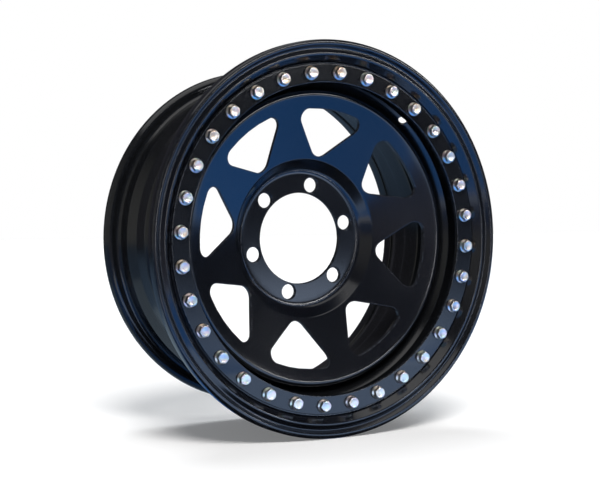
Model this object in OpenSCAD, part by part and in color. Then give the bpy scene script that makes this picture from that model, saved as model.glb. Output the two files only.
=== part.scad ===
// Steel off-road car wheel, 16 x 7 inch, with a bolted ring round its front that only looks like a
// beadlock: a rolled rim, a pressed disc with eight windows, a formed front ring, a flat ring plate
// and 32 short bolts. The wheel stands upright and turns about Y, with its front facing -Y, and the
// origin is the centre of the hub bore in the face that sits on the hub.

/* [Rim] */
// Bead seat diameter of the rim
bead_d = 405.6; // [402:0.1:410]
// Width of the rim between the two tyre faces
rim_w = 177.8; // [150:0.1:220]
// Distance from the middle of the rim forward to the hub face
wheel_offset = 14; // [-5:1:20]
// Sheet thickness of the rolled rim
rim_t = 2.8; // [2:0.1:3.6]
// Height of the rear flange above the bead seat
flange_h = 17.3; // [16.6:0.1:20]
// Outer radius of the rolled edge of the rear flange
curl_r = 9.5; // [8:0.1:10]
// Reach of the rolled edge behind the tyre face
curl_reach = 13; // [12:0.1:14]
// Width of each bead seat
seat_w = 19.8; // [17:0.1:23]
// Height of the hump that keeps the bead on its seat
hump_h = 1.9; // [1:0.1:2.6]
// Depth of the rear shelf below the bead seat
shelf_drop = 6; // [4:0.1:9]
// Depth of the well wall that holds the disc, below the bead seat
land_drop = 14.5; // [12:0.1:17]
// Depth of the bottom of the well below the bead seat
well_drop = 17.3; // [15:0.1:20]
// Diameter of the valve hole
valve_d = 11.5; // [8:0.1:16]
// Clock angle of the valve hole, seen from the front
valve_turn = 40; // [0:0.5:360]

/* [Disc] */
// Plate thickness of the pressed disc
disc_t = 5; // [4:0.1:7]
// Diameter of the hub bore
bore_d = 116; // [90:0.1:117]
// Diameter of the circle through the wheel studs
stud_circle_d = 139.7; // [139:0.1:146]
// Number of stud holes
stud_count = 6; // [4:1:6]
// Diameter of each stud hole
stud_hole_d = 18.8; // [12:0.1:19.4]
// Width of the cone that seats each wheel nut
nut_seat_d = 20.8; // [19.8:0.1:22]
// Clock angle of the first stud hole
stud_turn = 13.55; // [0:0.05:60]
// Diameter of the flat hub pad
pad_d = 174; // [166:1:180]
// Depth of the steep wall round the hub pad
cup_depth = 16.5; // [12:0.5:20]
// Rise of the bowl from the cup to the shoulder
bowl_rise = 36.3; // [28:0.1:40]
// Length of the skirt behind the shoulder
skirt_len = 40.8; // [32:0.1:45]

/* [Windows] */
// Number of windows in the disc
window_count = 8; // [5:1:9]
// Distance from the wheel's axis to the inner point of a window
window_in_r = 105.5; // [103:0.1:112]
// Distance from the outside of the disc in to the sharp outer corners of a window
window_margin = 21; // [20:0.1:32]
// Half of the angle between the two sharp outer corners of a window
window_half_angle = 18.8; // [12:0.1:20]
// Radius that rounds the inner point of a window
window_tip_r = 14; // [6:0.1:15]
// Radius of the two outer corners of a window
window_corner_r = 11; // [6:0.1:12]
// Clock angle of the first window
window_turn = 8.5; // [0:0.5:45]

/* [Front ring] */
// Sheet thickness of the formed front ring
lip_t = 3; // [2:0.1:3.4]
// Width of the formed front ring from the bead seat out to its edge
ring_w = 41.7; // [40:0.1:47]
// Width of the front ring from its crest out to its edge
roll_w = 17.2; // [15.5:0.1:19]
// Width of the slope from the ring plate out to the crest
slope_w = 11.3; // [10:0.1:13]
// Height of the crest above the ring plate
crest_rise = 7.6; // [5:0.1:10]
// Height of the outer roll above the ring plate
roll_rise = 11.2; // [9:0.1:14]
// Depth of the edge turned back behind the outer roll
roll_back = 14; // [10:0.5:18]
// Thickness of the flat ring plate
plate_t = 3; // [2:0.1:5]
// Width of the ring plate and of the front ring inside the bead seat
ring_inset = 9.7; // [8:0.1:11]

/* [Ring bolts] */
// Number of ring bolts
bolt_count = 32; // [16:1:36]
// Clock angle of the first ring bolt
bolt_turn = 3.05; // [0:0.05:11]
// Thread diameter of a ring bolt
bolt_d = 8; // [6:0.5:10]
// Width of the hexagon across its flats
hex_w = 13; // [10:0.5:13.5]
// Height of the whole bolt head
head_h = 7.6; // [5:0.1:9]
// Diameter of the flange under the head
flange_d = 17.5; // [16:0.1:18]
// Thickness of the flange under the head
flange_t = 1.5; // [1:0.1:2]

/* [Hidden] */
$fn = 96;

// Gap between a round face and the round face that it sits in
fit_gap = 0.2;
// Room round a bolt in the hole of the ring plate
bolt_room = 0.8;
// Steps in each bend of a sheet profile
bend_steps = 6;
// Radius on the inside of the tightest sheet bends
tight_bend_r = 0.4;
// Radius of the wide sheet bends in the rim
rim_bend_r = 6.5;
// Radius at the foot of each hump
toe_bend_r = 1.5;
// Taper of the bead seats
seat_taper = 5;

// Lengths along the axis of the rim's steps, from the rear hump to the front one
rear_hump_w = 2.4;
rear_slope_w = 20;
shelf_w = 23;
shelf_fall = 0.5;
well_wall_w = 16;
land_wall_w = 6;
land_spare = 7;
front_slope_w = 19;
front_hump_w = 3.6;

// Tilt of the valve hole towards the rear, and its place behind and under the top of the front hump
valve_tilt = 22;
valve_back = 2.6;
valve_sink = 2.4;

// Bend where the hub pad turns up into the cup, and the width of the cup's wall
pad_bend_r = 12;
cup_wall_w = 13.6;
cup_edge_fall = 0.8;
// Fine raised bead round the hub pad
pad_bead_r = 1.1;
pad_bead_in = 0.9;
pad_bead_rise = 0.5;
// Point of the bowl between the cup and the shoulder, as shares of its width and its rise
bowl_mid_w = 0.614;
bowl_mid_rise = 0.592;
bowl_bend_r = 200;
// Bevel at the front of the hub bore, and the cone angle of the nut seats
bore_bevel = 0.8;
nut_cone_angle = 60;

// How far a window's outer side bows out, and how much of what the corners leave of it the bow rounds
window_bow = 11.3;
window_bow_share = 0.98;

// Space between the ring plate's edge and the slope, and the bend at the foot of the slope
plate_margin = 1.6;
slope_bend_r = 1.2;
// Groove between the crest and the outer roll
groove_w = 7.2;
groove_drop = 2.4;
groove_bend_r = 2.2;
crest_in = 0.4;
crest_out = 1.2;
// Bevel on the edges of the ring plate
plate_bevel = 0.6;

// Distance of the bolts' circle outside the middle of the ring plate
bolt_out = 0.55;
// Cone between the flange and the hexagon of a ring bolt, and the round top of the hexagon
bolt_cone_h = 1.3;
bolt_crown = 0.95;
hex_step = 23;

// Weld runs behind the disc, and the weld round the back of the front ring
disc_weld_leg = 4.6;
disc_weld_runs = 8;
disc_weld_angle = 26;
ring_weld_leg = 4;
// Share of the leg that is left at the middle of a weld's face
weld_throat = 0.62;

// Faces along the axis, measured forward from the hub face
rim_mid = -wheel_offset;
rear_face = rim_mid - rim_w / 2;
front_face = rim_mid + rim_w / 2;
land_face = front_face + lip_t;
plate_face = land_face + plate_t;
// Depth of the blind thread that a ring bolt has in the formed ring
thread_depth = 0.7 * lip_t;

// Radii of the rim, on its tyre side
bead_r = bead_d / 2;
seat_fall = seat_w * tan(seat_taper);
land_r = bead_r - land_drop;
well_r = bead_r - well_drop;
shelf_r = bead_r - shelf_drop;

// Round face inside the rim that holds the disc, and the skirt that fits in it
land_in_r = land_r - rim_t;
skirt_r = land_in_r - fit_gap;
shoulder_z = disc_t + cup_depth + bowl_rise;
skirt_end = shoulder_z - skirt_len;
window_out_r = skirt_r - window_margin;

// Radii of the front ring and the ring plate, and of the circle through the ring bolts
lip_r = bead_r + ring_w;
crest_r = lip_r - roll_w;
plate_out_r = crest_r - slope_w;
plate_in_r = bead_r - ring_inset;
bolt_circle_r = (plate_in_r + plate_out_r) / 2 + bolt_out;

// A vector of length one
function unit(v) = v / norm(v);

// Points of an arc about a centre, from one angle to another
function arc(centre, r, from, to) =
    [for (i = [0:bend_steps]) let (a = from + (to - from) * i / bend_steps) centre + r * [cos(a), sin(a)]];

// Arc that rounds the corner b between the points a and c
function bend(a, b, c, r) =
    let (
        u = unit(a - b),
        w = unit(c - b),
        half = acos(u * w) / 2,
        centre = b + unit(u + w) * r / sin(half),
        first = b + u * r / tan(half) - centre,
        last = b + w * r / tan(half) - centre,
        from = atan2(first.y, first.x),
        sweep = (atan2(last.y, last.x) - from + 540) % 360 - 180
    )
    arc(centre, r, from, from + sweep);

// Open outline through corners [r, z, bend radius], with each corner rounded
function bent(path) = [
    for (i = [0:len(path) - 1])
        let (p = path[i])
        each i == 0 || i == len(path) - 1 || p[2] == 0
            ? [[p.x, p.y]]
            : bend([path[i - 1].x, path[i - 1].y], [p.x, p.y], [path[i + 1].x, path[i + 1].y], p[2])
];

// Closed outline through the same kind of corners
function rounded(path) =
    let (n = len(path))
    [for (i = [0:n - 1])
        let (a = path[(i + n - 1) % n], p = path[i], c = path[(i + 1) % n])
        each bend([a.x, a.y], [p.x, p.y], [c.x, c.y], p[2])];

// The unit normal to the right of the step from one point to the next
function right_of(a, b) = let (d = unit(b - a)) [d.y, -d.x];

// The outline moved to its right by t, with every step kept parallel
function moved(line, t) = [
    for (i = [0:len(line) - 1])
        let (
            before = i == 0 ? right_of(line[0], line[1]) : right_of(line[i - 1], line[i]),
            after = i == len(line) - 1 ? before : right_of(line[i], line[i + 1]),
            middle = unit(before + after)
        )
        line[i] + middle * t / (middle * before)
];

function reversed(list) = [for (i = [len(list) - 1:-1:0]) list[i]];

// A sheet of thickness t to the right of an outline, spun about the wheel's axis
module spun_sheet(line, t) {
    rotate_extrude($fn = 180) polygon(concat(line, reversed(moved(line, t))));
}

// Puts the wheel upright, with its front facing -Y
module upright() {
    rotate([90, 0, 0]) children();
}

// Places copies round the axis, clockwise as seen from the front
module ring_of(count, turn, r) {
    for (i = [0:count - 1]) rotate([0, 0, 90 - turn - i * 360 / count]) translate([r, 0, 0]) children();
}

// Tyre side of the rim from the rolled edge of its rear flange to its front end
function rim_line() =
    let (
        curl_centre = [bead_r + flange_h - curl_r, rear_face - curl_r],
        curl_end = asin((curl_reach - curl_r) / curl_r),
        rear_toe = rear_face + seat_w,
        front_toe = front_face - seat_w,
        hump_r = bead_r - seat_fall + hump_h,
        hump_bend_r = rim_t + tight_bend_r,
        shelf_start = rear_toe + rear_slope_w,
        shelf_end = shelf_start + shelf_w,
        land_end = skirt_end - land_spare,
        land_start = front_toe - front_slope_w
    )
    concat(
        arc(curl_centre, curl_r, -curl_end, 90),
        bent([
            [bead_r + flange_h - curl_r - 1, rear_face, 0],
            [bead_r, rear_face, rim_bend_r],
            [bead_r - seat_fall, rear_toe, toe_bend_r],
            [hump_r, rear_toe + rear_hump_w, hump_bend_r],
            [shelf_r, shelf_start, rim_bend_r],
            [shelf_r - shelf_fall, shelf_end, rim_bend_r],
            [well_r, shelf_end + well_wall_w, rim_bend_r],
            [well_r, land_end - land_wall_w, rim_bend_r],
            [land_r, land_end, rim_bend_r],
            [land_r, land_start, rim_bend_r],
            [hump_r, front_toe - front_hump_w, hump_bend_r],
            [bead_r - seat_fall, front_toe, toe_bend_r],
            [bead_r, front_face, 0]
        ])
    );

module rim_barrel() {
    color([0.06, 0.065, 0.08]) upright() difference() {
        spun_sheet(rim_line(), -rim_t);
        valve_hole();
        flat_end();
    }
}

// Cuts the front end of the rim square, so that it butts on the back of the formed ring
module flat_end() {
    translate([0, 0, front_face]) cylinder(r = bead_r + 2 * rim_t, h = 2 * rim_t);
}

// Valve hole, drilled square to the bend where the front hump turns in towards the well
module valve_hole() {
    hump_z = front_face - seat_w - front_hump_w;
    hole_r = bead_r - seat_fall + hump_h - valve_sink;
    rotate([0, 0, 90 - valve_turn]) translate([hole_r, 0, hump_z - valve_back])
        rotate([0, 90 + valve_tilt, 0]) cylinder(d = valve_d, h = 6 * rim_t, center = true, $fn = 48);
}

// Front of the disc from the hub bore out to the end of its skirt
function disc_line() =
    let (
        pad_r = pad_d / 2,
        cup_r = pad_r + cup_wall_w,
        cup_z = disc_t + cup_depth,
        mid_r = cup_r + bowl_mid_w * (skirt_r - cup_r)
    )
    bent([
        [bore_d / 2, disc_t, 0],
        [pad_r, disc_t, pad_bend_r],
        [cup_r, cup_z - cup_edge_fall, disc_t + 1],
        [mid_r, cup_z + bowl_mid_rise * bowl_rise, bowl_bend_r],
        [skirt_r, shoulder_z, disc_t + tight_bend_r],
        [skirt_r, skirt_end, 0]
    ]);

// One window as a flat outline: its point looks at the hub, and its sides touch the circle that rounds
// the point. Its outer side bows out, over what the two rounded corners leave of it.
module window_shape() {
    out_x = window_out_r * cos(window_half_angle);
    out_y = window_out_r * sin(window_half_angle);
    reach = [out_x - window_in_r - window_tip_r, out_y];
    slant = atan2(reach.y, reach.x) - asin(window_tip_r / norm(reach));
    tip = [out_x - out_y / tan(slant), 0];
    corner = [out_x, out_y];
    middle = [out_x + window_bow, 0];
    half = acos(unit(tip - corner) * unit(middle - corner)) / 2;
    bow_len = norm(middle - corner) - window_corner_r / tan(half);
    polygon(rounded([
        [tip.x, 0, window_tip_r],
        [out_x, -out_y, window_corner_r],
        [middle.x, 0, window_bow_share * bow_len * out_y / window_bow],
        [out_x, out_y, window_corner_r]
    ]));
}

module centre_disc() {
    color([0.055, 0.065, 0.09]) upright() difference() {
        union() {
            spun_sheet(disc_line(), disc_t);
            pad_bead();
        }
        ring_of(window_count, window_turn, 0) linear_extrude(height = shoulder_z + 1) window_shape();
        ring_of(stud_count, stud_turn, stud_circle_d / 2) stud_hole();
        bore_edge();
    }
}

// Fine bead that the press leaves round the hub pad
module pad_bead() {
    rotate_extrude($fn = 180) translate([pad_d / 2 - pad_bead_in, disc_t + pad_bead_rise])
        circle(r = pad_bead_r, $fn = 24);
}

// Stud hole with the cone that centres the wheel nut
module stud_hole() {
    cone_h = (nut_seat_d - stud_hole_d) / 2 / tan(nut_cone_angle / 2);
    translate([0, 0, -1]) cylinder(d = stud_hole_d, h = disc_t + 2, $fn = 64);
    translate([0, 0, disc_t - cone_h]) cylinder(d1 = stud_hole_d, d2 = nut_seat_d, h = cone_h, $fn = 64);
}

// Small bevel at the front of the hub bore
module bore_edge() {
    translate([0, 0, disc_t - bore_bevel])
        cylinder(d1 = bore_d, d2 = bore_d + 2 * bore_bevel, h = bore_bevel, $fn = 180);
}

// Front of the formed ring: land under the plate, slope, crest, groove, roll and turned edge
function ring_line() =
    let (
        crest_z = plate_face + crest_rise,
        roll_z = plate_face + roll_rise,
        bend_r = lip_t + tight_bend_r
    )
    bent([
        [plate_in_r, land_face, 0],
        [plate_out_r + plate_margin, land_face, slope_bend_r],
        [crest_r - crest_in, crest_z + crest_out, bend_r],
        [crest_r + groove_w, crest_z - groove_drop, groove_bend_r],
        [lip_r - 2 * lip_t, roll_z, bend_r],
        [lip_r, roll_z, bend_r],
        [lip_r, roll_z - roll_back, 0]
    ]);

module front_ring() {
    color([0.06, 0.065, 0.085]) upright() difference() {
        spun_sheet(ring_line(), lip_t);
        ring_of(bolt_count, bolt_turn, bolt_circle_r) translate([0, 0, land_face - thread_depth])
            cylinder(d = bolt_d + 2 * fit_gap, h = lip_t + plate_t, $fn = 32);
    }
}

module ring_plate() {
    color([0.05, 0.055, 0.065]) upright() difference() {
        rotate_extrude($fn = 180) polygon([
            [plate_in_r, land_face],
            [plate_out_r, land_face],
            [plate_out_r, plate_face - plate_bevel],
            [plate_out_r - plate_bevel, plate_face],
            [plate_in_r + plate_bevel, plate_face],
            [plate_in_r, plate_face - plate_bevel]
        ]);
        ring_of(bolt_count, bolt_turn, bolt_circle_r) translate([0, 0, land_face - 1])
            cylinder(d = bolt_d + bolt_room, h = plate_t + 2, $fn = 32);
    }
}

// Hexagon flange bolt, seated on z = 0, with its shank reaching down into the ring
module ring_bolt() {
    shank_l = plate_t + thread_depth - fit_gap;
    corner_d = hex_w / cos(30);
    crown_d = bolt_crown * hex_w;
    bevel = (corner_d - crown_d) / 2 * tan(30);
    translate([0, 0, -shank_l]) cylinder(d = bolt_d, h = shank_l + flange_t / 2, $fn = 32);
    cylinder(d = flange_d, h = flange_t, $fn = 48);
    translate([0, 0, flange_t]) cylinder(d1 = flange_d, d2 = corner_d, h = bolt_cone_h, $fn = 48);
    intersection() {
        translate([0, 0, flange_t / 2]) cylinder(d = corner_d, h = head_h - flange_t / 2, $fn = 6);
        union() {
            cylinder(d = corner_d + 1, h = head_h - bevel, $fn = 48);
            translate([0, 0, head_h - bevel]) cylinder(d1 = corner_d, d2 = crown_d, h = bevel, $fn = 48);
        }
    }
}

// Each bolt stops where it was tightened, so its hexagon lies at an angle of its own
module ring_bolts() {
    color([0.75, 0.76, 0.78]) upright() for (i = [0:bolt_count - 1])
        rotate([0, 0, 90 - bolt_turn - i * 360 / bolt_count])
            translate([bolt_circle_r, 0, plate_face])
                rotate([0, 0, i * hex_step % 60]) ring_bolt();
}

// Weld runs behind the disc, between the end of its skirt and the rim
module disc_weld() {
    out_r = land_in_r - fit_gap;
    leg = disc_weld_leg;
    face = leg * weld_throat;
    color([0.07, 0.07, 0.08]) upright() for (i = [0:disc_weld_runs - 1])
        rotate([0, 0, 90 - window_turn - disc_weld_angle / 2 + (i + 0.5) * 360 / disc_weld_runs])
            rotate_extrude(angle = disc_weld_angle, $fn = 180) polygon([
                [out_r, skirt_end],
                [out_r, skirt_end - leg],
                [out_r - face, skirt_end - face],
                [out_r - leg, skirt_end]
            ]);
}

// Weld run between the back of the formed ring and the tapered inside of the rim
module ring_weld() {
    out_r = bead_r - rim_t / cos(seat_taper) - fit_gap;
    leg = ring_weld_leg;
    face = leg * weld_throat;
    color([0.07, 0.07, 0.08]) upright() rotate_extrude($fn = 180) polygon([
        [out_r, front_face],
        [out_r - leg, front_face],
        [out_r - face, front_face - face],
        [out_r - leg * tan(seat_taper), front_face - leg]
    ]);
}

rim_barrel();
centre_disc();
front_ring();
ring_plate();
ring_bolts();
disc_weld();
ring_weld();
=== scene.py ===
import math

import bmesh
import bpy
import numpy as np
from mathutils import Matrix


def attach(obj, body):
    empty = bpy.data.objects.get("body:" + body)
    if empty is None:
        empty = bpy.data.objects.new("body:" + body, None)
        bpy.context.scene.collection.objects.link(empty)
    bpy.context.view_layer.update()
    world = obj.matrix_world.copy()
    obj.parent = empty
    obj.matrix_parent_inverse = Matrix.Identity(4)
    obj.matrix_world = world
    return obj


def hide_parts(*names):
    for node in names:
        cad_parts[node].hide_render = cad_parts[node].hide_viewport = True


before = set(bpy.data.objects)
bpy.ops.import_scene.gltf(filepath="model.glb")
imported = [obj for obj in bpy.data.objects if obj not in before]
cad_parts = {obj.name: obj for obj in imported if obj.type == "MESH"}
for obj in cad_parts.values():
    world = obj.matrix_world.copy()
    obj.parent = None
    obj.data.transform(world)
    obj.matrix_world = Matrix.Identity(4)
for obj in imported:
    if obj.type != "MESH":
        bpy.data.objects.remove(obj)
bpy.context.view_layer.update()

# Rim
# The barrel that carries the tyre: one strip of 2.8 mm steel, butt welded into a hoop and rolled to
# shape, with a flange and a curled edge at the rear. Its front end butts on the formed front ring.
MM = 0.001
SPIN_STEPS = 480
BEND_STEP = math.radians(8)
CREASE = 32
BEAD_R = 202.8
RIM_T = 2.8
REAR_FACE = -102.9
FRONT_FACE = 74.9
TIGHT_BEND = 0.4
RIM_BEND = 6.5
TOE_BEND = 1.5
FLANGE_H = 17.3
FLANGE_W = 13
CURL_R = 9.5
CURL_CENTRE = (BEAD_R + FLANGE_H - CURL_R, REAR_FACE - CURL_R)
CURL_END = math.asin((FLANGE_W - CURL_R) / CURL_R)
CURL_EDGE = 0.7
BUTT_EDGE = 0.1
SEAT_W = 19.8
SEAT_TAPER = math.radians(5)
SEAT_LOW_R = BEAD_R - SEAT_W * math.tan(SEAT_TAPER)
REAR_TOE = REAR_FACE + SEAT_W
FRONT_TOE = FRONT_FACE - SEAT_W
HUMP_R = SEAT_LOW_R + 1.9
REAR_HUMP_W = 2.4
FRONT_HUMP_W = 3.6
SHELF_R = BEAD_R - 6
SHELF_START = REAR_TOE + 20
SHELF_END = REAR_TOE + 43
SHELF_FALL = 0.5
WELL_R = BEAD_R - 17.3
WELL_START = REAR_TOE + 59
LAND_R = BEAD_R - 14.5
SKIRT_END = 17
WELL_END = SKIRT_END - 13
LAND_START = SKIRT_END - 7
LAND_END = FRONT_TOE - 19


def arc(centre, radius, start, end):
    """Points of a circle about the centre, from one angle to another in even steps: centre plus radius
    times (cosine, sine), with no step wider than BEND_STEP."""
    count = max(3, math.ceil(abs(end - start) / BEND_STEP) + 1)
    angle = np.linspace(start, end, count)
    return np.array(centre) + radius * np.stack([np.cos(angle), np.sin(angle)], 1)


def bent(corners):
    """Outline of a bent sheet. Each corner (r, z, bend) becomes an arc of that radius which touches both
    of its sides: its centre is on the line that halves the corner, radius / sin(half) away, and the
    arc starts and ends radius / tan(half) from the corner."""
    rows = [np.array([corners[0][:2]], float)]
    for before, here, after in zip(corners, corners[1:], corners[2:]):
        a, b, c = (np.array(p[:2], float) for p in (before, here, after))
        u = (a - b) / np.linalg.norm(a - b)
        w = (c - b) / np.linalg.norm(c - b)
        half = math.acos(float(u @ w)) / 2
        centre = b + (u + w) / np.linalg.norm(u + w) * here[2] / math.sin(half)
        first = b + u * here[2] / math.tan(half) - centre
        last = b + w * here[2] / math.tan(half) - centre
        start = math.atan2(first[1], first[0])
        sweep = (math.atan2(last[1], last[0]) - start + 3 * math.pi) % math.tau - math.pi
        rows.append(arc(centre, here[2], start, start + sweep))
    rows.append(np.array([corners[-1][:2]], float))
    return np.concatenate(rows)


def moved(line, t):
    """The line moved by t to its right: each point goes along the mean of its two steps' normals, by
    t over the cosine between that mean and either normal, so every step stays parallel."""
    step = np.diff(line, axis=0)
    step = step / np.linalg.norm(step, axis=1)[:, None]
    normal = np.stack([step[:, 1], -step[:, 0]], 1)
    before = np.concatenate([normal[:1], normal])
    after = np.concatenate([normal, normal[-1:]])
    mean = (before + after) / np.linalg.norm(before + after, axis=1)[:, None]
    return line + mean * (t / (mean * before).sum(1))[:, None]


def cap(line, other, edge):
    """The end of a sheet between the last points of its two faces, with both edges rounded: a quarter
    circle of radius edge, a straight stretch, and the same quarter circle mirrored."""
    out = (line[-1] - line[-2]) / np.linalg.norm(line[-1] - line[-2])
    across = (other[-1] - line[-1]) / np.linalg.norm(other[-1] - line[-1])
    turn = np.radians(np.linspace(0, 90, 4))[:, None]
    first = line[-1] - out * edge + across * edge * (1 - np.cos(turn)) + out * edge * np.sin(turn)
    second = other[-1] - out * edge - across * edge * (1 - np.cos(turn)) + out * edge * np.sin(turn)
    return np.concatenate([first, second[::-1]])


def sheet(line, t, start_edge, end_edge):
    """Closed outline of a sheet: one face, the far end, the other face back, and the near end."""
    other = moved(line, t)
    near = cap(line[::-1], other[::-1], start_edge)
    return np.concatenate([line[1:-1], cap(line, other, end_edge), other[-2:0:-1], near[::-1]])


def wear_and_sheen_of(outline, closed):
    """How sharp an outline is at each point, from 0 on a flat to 1 on an edge of about 1 mm radius:
    the angle that it turns there over the mean length of the two steps beside it. The paint lightens
    by this on sharp edges, partly as wear and partly as a painted highlight."""
    before = outline - np.roll(outline, 1, 0)
    after = np.roll(outline, -1, 0) - outline
    turn = np.arctan2(before[:, 0] * after[:, 1] - before[:, 1] * after[:, 0], (before * after).sum(1))
    length = (np.linalg.norm(before, axis=1) + np.linalg.norm(after, axis=1)) / 2
    wear_and_sheen = np.clip(np.abs(turn) / np.maximum(length, 0.05), 0, 1)
    if not closed:
        wear_and_sheen[[0, -1]] = 0
    return wear_and_sheen


def spin(outline, closed=True, phase=0.0):
    """Surface of revolution: point i of the outline (r, z) at step j stands at the angle
    phase_i + j / SPIN_STEPS of a turn, where phase is one value or one for each point.
    Returns the points as (r, angle, z, edge lightening) and the faces between them; the edge
    lightening is partly wear and partly a painted highlight."""
    count = len(outline)
    turn = np.arange(SPIN_STEPS)[:, None] * math.tau / SPIN_STEPS + phase * np.ones(count)
    r = np.broadcast_to(outline[:, 0], turn.shape)
    z = np.broadcast_to(outline[:, 1], turn.shape)
    wear_and_sheen = np.broadcast_to(wear_and_sheen_of(outline, closed), turn.shape)
    i = np.arange(count if closed else count - 1)
    j = np.arange(SPIN_STEPS)[:, None]
    k = (j + 1) % SPIN_STEPS
    n = (i + 1) % count
    faces = np.stack([j * count + i, j * count + n, k * count + n, k * count + i], -1)
    return np.stack([r, turn, z, wear_and_sheen], -1).reshape(-1, 4), faces.reshape(-1, 4)


def make(name, shells, crease=CREASE):
    """One mesh from shells of (r, angle, z, edge lightening) points in mm, with z forward from the hub
    face, placed at (r cos angle, -z, r sin angle). The edge lightening, partly wear and partly a painted
    highlight, is kept on the points. Points that meet are merged, faces turned outwards and edges over
    the crease angle in degrees kept sharp."""
    rows = []
    quads = []
    start = 0
    for points, faces in shells:
        rows.append(points)
        quads.append(faces + start)
        start += len(points)
    points = np.concatenate(rows)
    faces = np.concatenate(quads)
    r, turn, z = points[:, 0], points[:, 1], points[:, 2]
    place = np.stack([r * np.cos(turn), -z, r * np.sin(turn)], 1) * MM
    mesh = bpy.data.meshes.new(name)
    mesh.from_pydata(place.tolist(), [], faces.tolist())
    wear_and_sheen = mesh.attributes.new("wear_and_sheen", "FLOAT", "POINT")
    wear_and_sheen.data.foreach_set("value", points[:, 3].astype(np.float32))
    joined = bmesh.new()
    joined.from_mesh(mesh)
    bmesh.ops.remove_doubles(joined, verts=joined.verts, dist=2e-6)
    bmesh.ops.recalc_face_normals(joined, faces=joined.faces)
    joined.to_mesh(mesh)
    joined.free()
    mesh.shade_smooth()
    mesh.set_sharp_from_angle(angle=math.radians(crease))
    piece = bpy.data.objects.new(name, mesh)
    bpy.context.scene.collection.objects.link(piece)
    return piece


def link(tree, out_socket, in_socket):
    """Wires one node's output to another node's input."""
    tree.links.new(out_socket, in_socket)


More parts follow.
